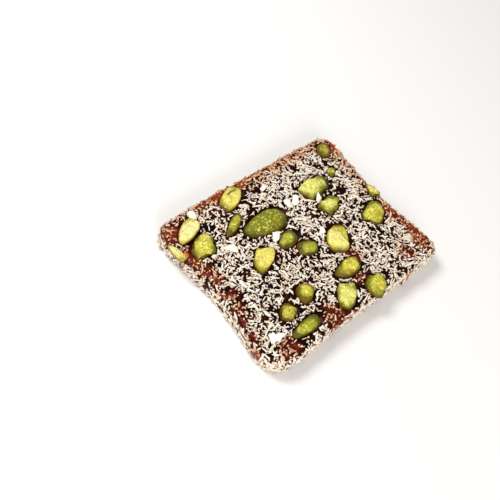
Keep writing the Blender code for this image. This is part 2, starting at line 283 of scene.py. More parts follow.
def make_studio():
    """A bright sky, two soft lights and a white floor."""
    world = bpy.data.worlds.new("studio")
    world.use_nodes = True
    background = world.node_tree.nodes["Background"]
    background.inputs["Color"].default_value = (*SKY, 1.0)
    background.inputs["Strength"].default_value = SKY_STRENGTH
    bpy.context.scene.world = world
    make_light("key", azimuth=110, elevation=52, distance=0.6, size=0.22, power=2.5, tint=SKY)
    make_light("fill", azimuth=-120, elevation=26, distance=0.7, size=0.4, power=3.3, tint=FILL_TINT)
    bpy.ops.mesh.primitive_plane_add(size=FLOOR_SIDE, location=(0, 0, 0))
    floor = bpy.context.object
    floor.name = "floor"
    material, _, shader = new_material("floor")
    shader.inputs["Base Color"].default_value = (FLOOR_GREY, FLOOR_GREY, FLOOR_GREY, 1.0)
    shader.inputs["Roughness"].default_value = FLOOR_ROUGHNESS
    floor.data.materials.append(material)
    bpy.context.scene.view_settings.view_transform = "Standard"


def new_material(name):
    """A new material, its node tree and its shader."""
    material = bpy.data.materials.new(name)
    material.use_nodes = True
    tree = material.node_tree
    return material, tree, tree.nodes["Principled BSDF"]


def add(tree, kind, links=(), **values):
    """A shader node. Values set its settings, and links pair an input's name with a number or an output."""
    node = tree.nodes.new(kind)
    for name, value in values.items():
        setattr(node, name, value)
    for name, source in links:
        socket = node.inputs[name]
        if isinstance(source, bpy.types.NodeSocket):
            tree.links.new(source, socket)
        else:
            socket.default_value = source
    return node


def add_noise(tree, size, detail=2.0, roughness=0.5):
    """Noise on the object's own coordinates, with features of about the given size in metres."""
    place = add(tree, "ShaderNodeTexCoord").outputs["Object"]
    links = (("Vector", place), ("Scale", 1 / size), ("Detail", detail), ("Roughness", roughness))
    return add(tree, "ShaderNodeTexNoise", links).outputs["Fac"]


def add_ramp(tree, factor, *stops):
    """A ramp from pairs of place and colour, where a colour is four numbers or one grey number."""
    node = add(tree, "ShaderNodeValToRGB", (("Fac", factor),))
    ramp = node.color_ramp
    while len(ramp.elements) < len(stops):
        ramp.elements.new(0.5)
    for element, (place, value) in zip(ramp.elements, stops):
        element.position = place
        element.color = value if isinstance(value, tuple) else (value, value, value, 1.0)
    return node.outputs["Color"]


def add_mix(tree, factor, first, second, blend="MIX"):
    """Two colours mixed by a factor; each may be a value or an output."""
    node = add(tree, "ShaderNodeMix", data_type="RGBA", blend_type=blend)
    for index, source in ((0, factor), (6, first), (7, second)):
        if isinstance(source, bpy.types.NodeSocket):
            tree.links.new(source, node.inputs[index])
        else:
            node.inputs[index].default_value = source
    return node.outputs[2]


def add_bump(tree, shader, height, strength, distance):
    """Bumps on the shader's surface from a height, at most distance high."""
    links = (("Height", height), ("Strength", strength), ("Distance", distance))
    bump = add(tree, "ShaderNodeBump", links)
    tree.links.new(bump.outputs["Normal"], shader.inputs["Normal"])


def jelly_material(name, specular):
    """Almost black with painted shade under the coconut; brick red where bare, amber where it looks thin."""
    material, tree, shader = new_material(name)
    # Under the coconut the jelly's own dark maroon is deepened by painted shade from the shreds over it
    deep = add_ramp(
        tree, add_noise(tree, 3.0 * MM, 3.0),
        (0.35, colour(14, 5, 3)), (0.55, colour(32, 11, 6)), (0.72, colour(84, 24, 12)),
    )
    patches = add_noise(tree, 1.8 * MM, 4.0, 0.6)
    open_jelly = add_ramp(
        tree, patches, (0.3, colour(28, 4, 1)), (0.5, colour(74, 13, 4)), (0.7, colour(130, 40, 10))
    )
    amber = add_ramp(
        tree, patches, (0.3, colour(62, 14, 1)), (0.5, colour(138, 44, 3)), (0.7, colour(200, 94, 12))
    )
    edge = add(tree, "ShaderNodeAttribute", attribute_name="edge").outputs["Fac"]
    bare = add(tree, "ShaderNodeAttribute", attribute_name="bare").outputs["Fac"]
    open_jelly = add_mix(tree, edge, open_jelly, amber)
    tree.links.new(add_mix(tree, bare, deep, open_jelly), shader.inputs["Base Color"])
    rough = add_ramp(tree, add_noise(tree, 1.6 * MM), (0.3, 0.08), (0.7, 0.25))
    tree.links.new(rough, shader.inputs["Roughness"])
    shader.inputs["Specular IOR Level"].default_value = specular
    add_bump(tree, shader, add_noise(tree, 0.7 * MM, 3.0), 0.6, 0.25 * MM)
    return material


def bead_material():
    """Clear jelly from brick red to amber, each bead of its own shade."""
    material, tree, shader = new_material("jelly_bead")
    island = add(tree, "ShaderNodeNewGeometry").outputs["Random Per Island"]
    shade = add_ramp(
        tree, island,
        (0.0, colour(80, 16, 5)), (0.5, colour(118, 34, 8)), (0.85, colour(168, 70, 18)),
        (1.0, colour(206, 118, 40)),
    )
    tree.links.new(shade, shader.inputs["Base Color"])
    shader.inputs["Roughness"].default_value = 0.16
    return material


def coconut_material():
    """Off-white shreds, each of its own shade, stained pink, brown or amber where the jelly wets them."""
    material, tree, shader = new_material("coconut")
    island = add(tree, "ShaderNodeNewGeometry").outputs["Random Per Island"]
    clean = add_ramp(
        tree, island,
        (0.0, colour(226, 206, 172)), (0.15, colour(246, 236, 216)), (0.6, colour(254, 249, 237)),
        (1.0, colour(255, 253, 247)),
    )
    wet = add_ramp(
        tree, island,
        (0.0, colour(150, 74, 38)), (0.4, colour(212, 152, 104)), (0.8, colour(242, 204, 162)),
        (1.0, colour(248, 222, 186)),
    )
    amber = add_ramp(
        tree, island,
        (0.0, colour(146, 66, 16)), (0.4, colour(206, 124, 54)), (0.8, colour(234, 178, 108)),
        (1.0, colour(246, 206, 150)),
    )
    edge = add(tree, "ShaderNodeAttribute", attribute_name="edge").outputs["Fac"]
    stain = add(tree, "ShaderNodeAttribute", attribute_name="stain").outputs["Fac"]
    shade = add_mix(tree, stain, clean, add_mix(tree, edge, wet, amber))
    grain = add_ramp(tree, add_noise(tree, 0.35 * MM, 2.0), (0.3, 0.82), (0.65, 1.0))
    tree.links.new(add_mix(tree, 1.0, shade, grain, "MULTIPLY"), shader.inputs["Base Color"])
    shader.inputs["Roughness"].default_value = 0.5
    return material


def kernel_material(name, skin, flesh, rough):
    """Skin to flesh colour by the painted share, flecks, a rim of skin and painted shade, creases of painted
    shade.
    """
    material, tree, shader = new_material(name)
    painted = add(tree, "ShaderNodeAttribute", attribute_name="flesh").outputs["Fac"]
    base = add_mix(tree, painted, colour(*PALETTE[skin]), colour(*PALETTE[flesh]))
    patches = add_ramp(tree, add_noise(tree, 1.3 * MM, 4.0, 0.65), (0.3, 0.6), (0.7, 1.2))
    patched = add_mix(tree, 1.0, base, patches, "MULTIPLY")
    grain = add_ramp(tree, add_noise(tree, 0.45 * MM, 2.0), (0.35, 0.58 if rough else 0.72), (0.65, 1.22))
    grained = add_mix(tree, 1.0, patched, grain, "MULTIPLY")
    spots = add_ramp(tree, add_noise(tree, 0.9 * MM, 3.0), (0.5 if rough else 0.54, 0.0), (0.7, 0.85))
    flecks = add_mix(tree, 1.0, spots, painted, "MULTIPLY")
    flecked = add_mix(tree, flecks, grained, colour(246, 240, 140))
    # The rim is brown skin with painted shade near the jelly, and painted shade on the steep flanks
    rim = add(tree, "ShaderNodeAttribute", attribute_name="rim").outputs["Fac"]
    rim_shaded = add_mix(tree, rim, flecked, colour(92, 66, 14))
    # Creases are darkened with painted shade
    crease = add(tree, "ShaderNodeAttribute", attribute_name="crease").outputs["Fac"]
    crease_shaded = add_mix(tree, crease, rim_shaded, colour(74, 48, 10))
    tree.links.new(crease_shaded, shader.inputs["Base Color"])
    shader.inputs["Roughness"].default_value = 0.4
    shader.inputs["Specular IOR Level"].default_value = 0.22
    add_bump(tree, shader, add_noise(tree, 0.6 * MM, 4.0, 0.6), 0.8 if rough else 0.45, 0.25 * MM)
    return material


def outline(u, v):
    """The slab's outline at the point (u, v) of the unit square's edge."""
    corner = (int(math.copysign(1, u)), int(math.copysign(1, v)))
    radius = CORNER_RADIUS[corner]
    half_length = HALF_LENGTH[corner[0]]
    point = Vector((u * half_length, v * HALF_WIDTH))
    centre = Vector((corner[0] * (half_length - radius), corner[1] * (HALF_WIDTH - radius)))
    out = point - centre
    if out.x * corner[0] > 0 and out.y * corner[1] > 0:
        point = centre + out.normalized() * radius
    point.x -= corner[0] * END_HOLLOW[corner[0]] * (1 - v * v) ** 2
    if v > 0:
        point.y += FAR_SIDE_BOW * (1 - u * u)
    wave = SIDE_WAVE * noise.noise(Vector((point.x, point.y, 0)) / SIDE_WAVE_LENGTH)
    return point + point.normalized() * wave


def relief(x, y):
    """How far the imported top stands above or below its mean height."""
    return RELIEF * noise.noise(Vector((x, y, 0)) / RELIEF_LENGTH)


def side_profile(depth):
    """How far inside the outline the jelly lies, and how high, from depth 0 at the top to 1 at the base."""
    top = THICKNESS - COAT
    straight = top - COAT_BELOW - TOP_ROUND - BASE_ROUND
    arc = math.pi / 2
    along = depth * (arc * TOP_ROUND + straight + arc * BASE_ROUND)
    if along < arc * TOP_ROUND:
        angle = along / TOP_ROUND
        return COAT + TOP_ROUND * (1 - math.sin(angle)), top - TOP_ROUND * (1 - math.cos(angle))
    along -= arc * TOP_ROUND
    if along < straight:
        return COAT, top - TOP_ROUND - along
    angle = (along - straight) / BASE_ROUND
    return COAT + BASE_ROUND * (1 - math.cos(angle)), COAT_BELOW + BASE_ROUND * (1 - math.sin(angle))


def core_point(u, v, w):
    """Where a point of the unit box's surface lies on the jelly: w is 1 at the top and -1 at the base."""
    reach = max(abs(u), abs(v))
    if reach == 0:
        return Vector((0, 0, THICKNESS - COAT + relief(0, 0) if w > 0 else COAT_BELOW))
    edge = outline(u / reach, v / reach)
    inset, height = side_profile((1 - w) / 2)
    place = edge * reach * (1 - inset / edge.length)
    if w > TOP_LEVEL:
        height += relief(*place)
    return Vector((place.x, place.y, height))


def bareness(place, bare):
    """1 in the middle of a bare place, and 0 well away from all of them."""
    wobble = (1 + BARE_WOBBLE * noise.noise(place / BARE_WOBBLE_LENGTH)) * MM
    far = [math.hypot(place.x - x * MM, place.y - y * MM) / (radius * wobble) for x, y, radius in bare]
    return clamp(BARE_FADE[0] - BARE_FADE[1] * min(far))


def thinness(place):
    """How thin the jelly looks: only near the rim of the top, most at the far side and the right end."""
    u = place.x / HALF_LENGTH[1]
    v = place.y / HALF_WIDTH
    rim = clamp((max(abs(u), v) - EDGE_START) / (1 - EDGE_START))
    fade = clamp(EDGE_FADE[0] * place.z / THICKNESS - EDGE_FADE[1])
    return rim * fade * clamp(EDGE_GROWTH[0] + EDGE_GROWTH[1] * (u + v))


def sideness(place):
    """0 on the top, and 1 down the side."""
    return clamp((THICKNESS - place.z) / mix(*SIDE_START, thinness(place)) - 1)


def openness(place):
    """How far the jelly shows at a place of the top or the side."""
    return mix(bareness(place, BARE_PLACES), bareness(place, BARE_SIDES), sideness(place))


def to_object(mesh, name, *materials):
    """A bmesh or a mesh as a smooth object of the scene that rides on the root body."""
    if isinstance(mesh, bmesh.types.BMesh):
        data = bpy.data.meshes.new(name)
        mesh.to_mesh(data)
        mesh.free()
    else:
        data = mesh
    for material in materials:
        data.materials.append(material)
    data.shade_smooth()
    thing = bpy.data.objects.new(name, data)
    bpy.context.scene.collection.objects.link(thing)
    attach(thing, ROOT)
    return thing


def set_attribute(data, name, values):
    """Gives each vertex of a mesh a number that its material reads by name."""
    attribute = data.attributes.new(name, "FLOAT", "POINT")
    attribute.data.foreach_set("value", np.array(values, np.float32))


def unit_box():
    """A closed box from -1 to 1: two grids for the top and the base, joined by a side in rings."""
    mesh = bmesh.new()
    for level in (1, -1):
        bmesh.ops.create_grid(
            mesh, x_segments=CORE_CELLS[0], y_segments=CORE_CELLS[1], size=1,
            matrix=Matrix.Translation((0, 0, level)),
        )
    skin_and_shade_rims = [edge for edge in mesh.edges if edge.is_boundary]
    bmesh.ops.bridge_loops(mesh, edges=skin_and_shade_rims)
    posts = [edge for edge in mesh.edges if abs(edge.verts[0].co.z - edge.verts[1].co.z) > 1]
    bmesh.ops.subdivide_edges(mesh, edges=posts, cuts=CORE_SIDE_CUTS, use_grid_fill=True)
    return mesh


def make_core(kernel_tree):
    """The jelly: a box shaped point by point, with grooves round the kernels, bumps and painted colours."""
    mesh = unit_box()
    bare = []
    edges = []
    for vert in mesh.verts:
        u, v, w = vert.co
        vert.co = core_point(u, v, w)
        if w > TOP_LEVEL:
            near = kernel_tree.find_nearest(vert.co)[3]
            vert.co.z -= GROOVE_DEPTH * math.exp(-((near / GROOVE_WIDTH) ** 2))
        edges.append(max(thinness(vert.co), sideness(vert.co) * bareness(vert.co, BARE_SIDES)))
        bare.append(max(openness(vert.co), SIDE_BARE * sideness(vert.co), EDGE_BARE * edges[-1]))
    bmesh.ops.recalc_face_normals(mesh, faces=mesh.faces)
    mesh.normal_update()
    mesh.verts.index_update()
    for vert, share in zip(mesh.verts, bare):
        if vert.co.z > BUMPS_ABOVE:
            vert.co += Vector((vert.normal.x, vert.normal.y, 0)) * COAT * share
            for size, length in CORE_BUMPS:
                vert.co += vert.normal * size * noise.noise(vert.co / length)
    for face in mesh.faces:
        face.material_index = int(min(bare[vert.index] for vert in face.verts) > SIDE_BARE)
    covered = jelly_material("jelly_under_coconut", COVERED_SPECULAR)
    core = to_object(mesh, "jelly_core", covered, jelly_material("jelly_bare", BARE_SPECULAR))
    set_attribute(core.data, "bare", bare)
    set_attribute(core.data, "edge", edges)
    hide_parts("slab")
    return core


def tree_of(*things):
    """A search tree over the faces of some objects."""
    corners = []
    faces = []
    for thing in things:
        first = len(corners)
        corners += [vert.co.copy() for vert in thing.data.vertices]
        faces += [[first + index for index in face.vertices] for face in thing.data.polygons]
    return BVHTree.FromPolygons(corners, faces)


# How each kernel looks: skin and flesh colour, the share of flesh that shows, the direction of the paler end
# in degrees from X with its strength, and how lumpy the surface is
KERNEL_LOOKS = {
    "pistachio_top_01": ("lemon", "butter", 0.8, 60, 0.1, 0.4),
    "pistachio_top_02": ("olive", "lime", 0.3, -70, 0.9, 0.3),
    "pistachio_top_03": ("moss", "leaf", 0.75, 0, 0.1, 0.3),
    "pistachio_top_04": ("leaf", "lemon", 0.6, 160, 0.2, 1.0),
    "pistachio_top_05": ("butter", "pale", 0.8, 0, 0.1, 0.15),
    "pistachio_top_06": ("butter", "pale", 0.8, 90, 0.2, 0.1),
    "pistachio_top_07": ("lime", "butter", 0.85, -26, 0.5, 0.3),
    "pistachio_top_08": ("moss", "lime", 0.05, -150, 0.9, 0.4),
    "pistachio_top_09": ("moss", "lime", 0.4, 12, 0.2, 0.5),
    "pistachio_top_10": ("lemon", "cream", 0.7, -133, 0.4, 0.2),
    "pistachio_top_11": ("leaf", "pear", 0.15, 180, 0.4, 0.8),
    "pistachio_top_12": ("leaf", "pear", 0.6, 153, 0.6, 0.7),
    "pistachio_top_13": ("leaf", "lemon", 0.35, -150, 0.3, 0.9),
    "pistachio_top_14": ("leaf", "butter", 0.5, 46, 0.5, 0.8),
    "pistachio_top_15": ("olive", "lemon", 0.3, -60, 0.7, 0.4),
    "pistachio_top_16": ("leaf", "pear", 0.7, -133, 0.2, 0.62),
    "pistachio_top_17": ("leaf", "lemon", 0.4, -84, 0.6, 0.9),
    "pistachio_top_18": ("olive", "lemon", 0.15, -84, 0.2, 0.4),
    "pistachio_top_19": ("olive", "lemon", 0.4, 0, 0.0, 1.0),
    "pistachio_top_20": ("moss", "lime", 0.2, -84, 0.8, 0.4),
    "pistachio_top_21": ("olive", "lime", 0.1, 0, 0.0, 0.4),
    "pistachio_top_22": ("olive", "lime", 0.4, 0, 0.0, 0.3),
}
HIDDEN_LOOKS = {
    "side": ("leaf", "butter", 0.75, 0, 0.0, 0.4),
    "base": ("moss", "lime", 0.45, 0, 0.0, 0.3),
}
# How finely the kernels are subdivided, and the strength and size of each noise on them
KERNEL_LEVELS = {"top": 3, "side": 3, "base": 2}
LUMPS = ((0.9 * MM, 2.8 * MM), (0.42 * MM, 1.2 * MM), (0.18 * MM, 0.5 * MM))
# Where two lobes of a kernel meet: the crease's points as x and y in mm, how dark with painted shade and
# deep it is, and how far the lobe on its left lies below the other, in mm
CREASES = {
    "pistachio_top_01": (((-11.0, 29.0), (-9.0, 29.5), (-7.0, 29.2)), 1.0, 0.0),
    "pistachio_top_10": (((10.9, -4.2), (12.7, -6.3), (12.4, -8.7), (12.8, -11.4)), 0.5, 0.5),
}
# Where a kernel's outline is pushed out, or drawn in: directions in degrees from X, and how far in mm
PUSHES = {
    "pistachio_top_01": ((-167, 0.5), (12, -0.6)),
    "pistachio_top_02": ((120, -0.9),),
    "pistachio_top_03": ((96, -0.9), (-84, 0.6)),
    "pistachio_top_04": ((-133, 1.5), (-60, -0.5), (47, -0.7)),
    "pistachio_top_05": ((-167, -0.6), (150, -0.7), (-60, 0.8)),
    "pistachio_top_07": ((96, -0.4), (30, 0.4)),
    "pistachio_top_09": ((80, 1.0),),
    "pistachio_top_10": ((47, 1.7), (96, -1.0), (154, 0.5), (-167, -0.6)),
    "pistachio_top_11": ((154, -0.5), (-84, 0.3)),
    "pistachio_top_12": ((-167, 0.5), (47, 0.4)),
    "pistachio_top_13": ((12, -1.0), (-150, 0.4)),
    "pistachio_top_15": ((96, -1.0), (30, -0.4), (-84, 0.4)),
    "pistachio_top_16": ((47, 1.2), (96, -0.8), (12, -0.4), (-167, -0.5)),
    "pistachio_top_17": ((96, -0.8), (-60, 0.9)),
    "pistachio_top_18": ((47, -1.0), (-133, -0.5)),
    "pistachio_top_19": ((-26, 0.9), (-100, 0.4), (96, -0.8)),
    "pistachio_top_20": ((96, -0.7), (-133, 0.4)),
}
CREASE_WIDTH = 0.4 * MM
CREASE_DEPTH = 0.55 * MM
# How much less flesh colour a low lobe shows, and how softly it starts
LOBE_FLESH = 0.8
LOBE_SOFTNESS = 0.25 * MM
# The heights at which the dark rim of a top kernel, brown skin with painted shade, ends and is full
RIM = (THICKNESS + 0.35 * MM, THICKNESS - 0.5 * MM)
# Painted shade on steep kernel flanks: how dark, and up to what upward share of the normal a flank is steep
SLOPE_SHADE = 0.75
STEEP = 0.7
# How much more flesh colour the top of a kernel shows than its edge, and its paler end than its middle
CENTRE_FLESH = 2.1
LEAN_FLESH = 1.6
# The strength and size of the patches of flesh colour, and how high a side or base kernel counts as rising
PATCH_FLESH = 0.8
PATCH_LENGTH = 2.2 * MM
HIDDEN_RISE = 0.6
# How a packed kernel is refined: corners closer than this are one, triangles that meet at less than these
# angles are joined, edges keener than the cut's angle keep some of their crease, and the subdivided kernel is
# smoothed this often
WELD = 0.001 * MM
FLAT_ANGLE = math.radians(35)
SKEW_ANGLE = math.radians(60)
CUT_ANGLE = math.radians(52)
CUT_CREASE = 0.55
SMOOTHINGS = 10
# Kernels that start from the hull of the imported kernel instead, and are smoothed this often
ROUNDER = {
    "pistachio_top_04": 15, "pistachio_top_13": 20, "pistachio_top_16": 40, "pistachio_top_17": 20,
    "pistachio_top_18": 20,
}
# A kernel lumpier than this has a rough, flecked surface
ROUGH_LUMPS = 0.6


def fit(points, low, high):
    """The points stretched so that they fill a box."""
    lowest = points.min(0)
    share = (points - lowest) / (points.max(0) - lowest)
    return np.array(low) + share * (np.array(high) - np.array(low))


def make_cage(source):
    """A packed kernel with its triangles joined and its cut edges marked, ready to be subdivided."""
    mesh = bmesh.new()
    mesh.from_mesh(source.data)
    bmesh.ops.remove_doubles(mesh, verts=mesh.verts, dist=WELD)
    if source.name in ROUNDER:
        kept = set(bmesh.ops.convex_hull(mesh, input=mesh.verts)["geom"])
        bmesh.ops.delete(mesh, geom=[vert for vert in mesh.verts if vert not in kept], context="VERTS")
        bmesh.ops.delete(mesh, geom=[face for face in mesh.faces if face not in kept], context="FACES")
    bmesh.ops.join_triangles(
        mesh, faces=mesh.faces, angle_face_threshold=FLAT_ANGLE, angle_shape_threshold=SKEW_ANGLE
    )
    keen = mesh.edges.layers.float.new("crease_edge")
    for edge in mesh.edges:
        if edge.calc_face_angle(0) > CUT_ANGLE:
            edge[keen] = CUT_CREASE
    data = bpy.data.meshes.new("cage")
    mesh.to_mesh(data)
    mesh.free()
    return data


def subdivided(data, levels):
    """A subdivided copy of a mesh, which is itself removed."""
    cage = bpy.data.objects.new("cage", data)
    bpy.context.scene.collection.objects.link(cage)
    change = cage.modifiers.new("round", "SUBSURF")
    change.levels = levels
    change.render_levels = levels
    bpy.context.view_layer.update()
    view = bpy.context.evaluated_depsgraph_get()
    fine = bpy.data.meshes.new_from_object(cage.evaluated_get(view))
    bpy.data.objects.remove(cage)
    bpy.data.meshes.remove(data)
    return fine


def refine(source, levels):
    """A finer copy of a packed kernel: rounded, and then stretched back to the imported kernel's own box."""
    fine = subdivided(make_cage(source), levels)
    mesh = bmesh.new()
    mesh.from_mesh(fine)
    for _ in range(ROUNDER.get(source.name, SMOOTHINGS)):
        bmesh.ops.smooth_vert(
            mesh, verts=mesh.verts, factor=0.5, use_axis_x=True, use_axis_y=True, use_axis_z=True
        )
    mesh.to_mesh(fine)
    mesh.free()
    points = fit(np.array([vert.co for vert in fine.vertices]), *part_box(source.name))
    fine.vertices.foreach_set("co", points.ravel())
    fine.update()
    fine.materials.clear()
    return fine


def push(points, node, middle):
    """Moves the side of a kernel that faces each of its directions in or out."""
    for azimuth, size in PUSHES.get(node, ()):
        toward = np.array((math.cos(math.radians(azimuth)), math.sin(math.radians(azimuth))))
        along = (points[:, :2] - np.array(middle)[:2]) @ toward
        points[:, :2] += np.outer(np.maximum(along, 0) / along.max(), toward) * size * MM
    return points


def crease_share(node, place):
    """How deep in a kernel's crease a point lies, from 0 to 1, and how far it is into a low lobe."""
    if node not in CREASES:
        return 0.0, 0.0
    points, strength, drop_by = CREASES[node]
    flat = Vector((place.x, place.y))
    nearest = (math.inf, 0.0)
    for start, end in zip(points, points[1:]):
        start = Vector(start) * MM
        line = Vector(end) * MM - start
        along = clamp((flat - start).dot(line) / line.length_squared)
        away = flat - start - line * along
        nearest = min(nearest, (away.length, math.copysign(away.length, line.cross(away))))
    lobe = clamp(nearest[1] / LOBE_SOFTNESS) if drop_by else 0.0
    return strength * math.exp(-((nearest[0] / CREASE_WIDTH) ** 2)), lobe


def make_kernel(node, look, levels, slot, material):
    """A packed kernel in its finer form, with its lumps, its crease and its painted colours."""
    _, _, share, azimuth, strength, lumps = look
    on_top = node in KERNEL_LOOKS
    fine = refine(frame["nodes"][node], levels)
    low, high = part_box(node)
    middle = (low + high) / 2
    half = (high - low).length / 2
    lobe_drop = CREASES[node][2] * MM if node in CREASES else 0.0
    toward = Vector((math.cos(math.radians(azimuth)), math.sin(math.radians(azimuth)), 0))
    painted = []
    moved = []
    creases = []
    skin_and_shade_rims = []
    places = [vert.co.copy() for vert in fine.vertices]
    normals = [vert.vector.copy() for vert in fine.vertex_normals]
    for place, normal in zip(places, normals):
        lump = sum(size * noise.noise(place / length) for size, length in LUMPS)
        crease, lobe = crease_share(node, place)
        moved.append(place + normal * (lump * lumps - CREASE_DEPTH * crease - lobe_drop * lobe))
        # The crease's share sets both its depth and its painted shade
        creases.append(crease)
        # Painted shade on the steep flanks; brown skin with painted shade at the jelly line
        slope_shade = SLOPE_SHADE * clamp((STEEP - normal.z) / STEEP)
        depth = clamp((RIM[0] - place.z) / (RIM[0] - RIM[1]))
        skin_and_shade_rims.append(max(slope_shade, depth) if on_top else 0.0)
        lean = (place - middle).dot(toward) / half * strength
        patch = noise.noise(place / PATCH_LENGTH) * PATCH_FLESH
        rise = clamp((place.z - THICKNESS) / (high.z - THICKNESS)) if on_top else HIDDEN_RISE
        away = sum(((place[axis] - middle[axis]) * 2 / (high[axis] - low[axis])) ** 2 for axis in (0, 1))
        centre = (rise + clamp(1 - away)) / 2 - 0.5
        flesh = share + lean * LEAN_FLESH + patch + CENTRE_FLESH * centre - LOBE_FLESH * lobe
        painted.append(clamp(flesh))
    fine.vertices.foreach_set("co", push(fit(np.array(moved), low, high), node, middle).ravel())
    fine.update()
    set_attribute(fine, "flesh", painted)
    set_attribute(fine, "crease", creases)
    set_attribute(fine, "rim", skin_and_shade_rims)
    kernel = to_object(fine, node.replace("pistachio", "kernel"), material)
    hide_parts(node)
    return kernel


def make_kernels():
    """Every packed kernel in a finer form, and those of the top and sides apart from those of the base."""
    slots = {part["node"]: part["material_slot"] for part in frame["record"]["subparts"]}
    materials = {}
    groups = {"top": [], "side": [], "base": []}
    for node in sorted(frame["nodes"]):
        if not node.startswith("pistachio"):
            continue
        where = node.split("_")[1]
        look = KERNEL_LOOKS.get(node) or HIDDEN_LOOKS[where]
        skin, flesh, *_, lumps = look
        rough = lumps > ROUGH_LUMPS
        name = f"kernel_{skin}_{flesh}" + ("_rough" if rough else "")
        if name not in materials:
            materials[name] = kernel_material(name, skin, flesh, rough)
        groups[where].append(make_kernel(node, look, KERNEL_LEVELS[where], slots[node], materials[name]))
    return groups


def cover(place, layer, mean=COVER):
    """The chance that a shred of a layer stays: low in a bare place, and uneven elsewhere."""
    uneven = mean + sum(strength * noise.noise(place / size) for strength, size in COVER_NOISES)
    return clamp(uneven) * mix(1.0, layer.bare_share, openness(place))


def wetness(place):
    """How much the jelly stains a shred at a place, beyond its own share."""
    return WET_STAIN * max(openness(place), thinness(place))


def drop(tree, x, y):
    """The point of the surface straight below (x, y), or nothing outside it."""
    return tree.ray_cast(Vector((x, y, 2 * THICKNESS)), -UP)[0]


def draw_shred(layer, draw):
    """A shred's length, width, thickness and stain, which is at most twice its layer's."""
    length = min(LONGEST, layer.length * math.exp(draw.normal(0, layer.spread)))
    width = draw.uniform(*layer.widths)
    thickness = draw.uniform(*SHRED_THICKNESS)
    return length, width, thickness, layer.stain * draw.random() * 2


def rest(tree, x, y, angle, length):
    """The middle and direction of a shred that lies on what is under its two ends, or nothing."""
    along = Vector((math.cos(angle), math.sin(angle), 0)) * length * HELD_AT
    centre = drop(tree, x, y)
    ends = [drop(tree, x + side * along.x, y + side * along.y) for side in (-1, 1)]
    if centre is None or None in ends:
        return None
    line = ends[1] - ends[0]
    if abs(line.z) > STEEPEST * line.length:
        return None
    middle = (ends[0] + ends[1]) / 2
    middle.z = max(middle.z, centre.z)
    return middle, line.normalized()


def shreds_on_top(layer, tree, kernel_tree, draw):
    """A layer of shreds on the top: each is its middle, direction, upward side, sizes and stain."""
    poses = []
    reach_x = SCATTER_REACH * HALF_LENGTH[1]
    reach_y = SCATTER_REACH * HALF_WIDTH
    for row in range(int(2 * reach_y / layer.cell)):
        for column in range(int(2 * reach_x / layer.cell)):
            x = (column + draw.random()) * layer.cell - reach_x
            y = (row + draw.random()) * layer.cell - reach_y
            length, *sizes, stain = draw_shred(layer, draw)
            angle = draw.uniform(0, math.pi)
            lot = draw.random()
            lift = draw.uniform(*LIFT)
            pose = rest(tree, x, y, angle, length)
            if pose is None or lot > cover(pose[0], layer):
                continue
            middle, line = pose
            stain = clamp(stain + wetness(middle))
            reach = line * length / 2
            near = min(kernel_tree.find_nearest(middle + reach * side)[3] for side in (-1, 0, 1))
            if near > KERNEL_CLEARANCE:
                middle.z += layer.rise + lift
            elif lot < ON_KERNEL_SHARE:
                stain = 0.0
            else:
                continue
            poses.append((middle, line, UP, length, *sizes, stain))
    return poses


def chips_on_top(tree):
    """The large chips, at their places."""
    poses = []
    for x, y, length, turn in CHIPS:
        pose = rest(tree, x * MM, y * MM, math.radians(turn), length * MM)
        if pose:
            sizes = (length * MM, length * MM * CHIP_WIDTH, CHIP_THICKNESS, 0.0)
            poses.append((pose[0] + UP * CHIP_RISE, pose[1], UP, *sizes))
    return poses


def spots_on_side(cell, draw):
    """A point of the outline and a height for each cell of the two ends and the two long sides."""
    for end in (-1, 1):
        for on_end, span in ((True, 2 * HALF_WIDTH), (False, 2 * HALF_LENGTH[1])):
            for step in range(int(span / cell)):
                for level in range(int(THICKNESS / cell)):
                    along = clamp((step + draw.random()) * cell / span) * 2 - 1
                    height = (level + draw.random()) * cell
                    edge = outline(end, along) if on_end else outline(along, end)
                    yield Vector((edge.x, edge.y, height))


def shreds_on_side(tree, draw):
    """All the layers of shreds on the sides, flat against the jelly."""
    poses = []
    for layer in SIDE_LAYERS:
        for spot in spots_on_side(layer.cell, draw):
            place, normal, _, _ = tree.find_nearest(spot)
            *sizes, stain = draw_shred(layer, draw)
            angle = draw.uniform(0, math.pi)
            lift = draw.uniform(*SIDE_LIFT)
            if draw.random() > cover(place, layer, mix(SIDE_COVER, COVER, thinness(place))):
                continue
            stain = clamp(stain + wetness(place))
            line = Matrix.Rotation(angle, 3, normal) @ normal.orthogonal().normalized()
            poses.append((place + normal * (layer.rise + lift), line, normal, *sizes, stain))
    return poses


def shreds_on_base(draw):
    """One layer of shreds on the underside."""
    poses = []
    for row in range(int(2 * HALF_WIDTH / LOWER.cell)):
        for column in range(int(2 * HALF_LENGTH[1] / LOWER.cell)):
            u = (column + draw.random()) * LOWER.cell / HALF_LENGTH[1] - 1
            v = (row + draw.random()) * LOWER.cell / HALF_WIDTH - 1
            angle = draw.uniform(0, math.pi)
            *sizes, stain = draw_shred(LOWER, draw)
            lift = draw.uniform(*LIFT)
            place = core_point(u, v, -1)
            if max(abs(u), abs(v)) > BASE_REACH or draw.random() > cover(place, LOWER):
                continue
            line = Vector((math.cos(angle), math.sin(angle), 0))
            middle = Vector((place.x, place.y, COAT_BELOW - lift))
            poses.append((middle, line, -UP, *sizes, clamp(stain)))
    return poses


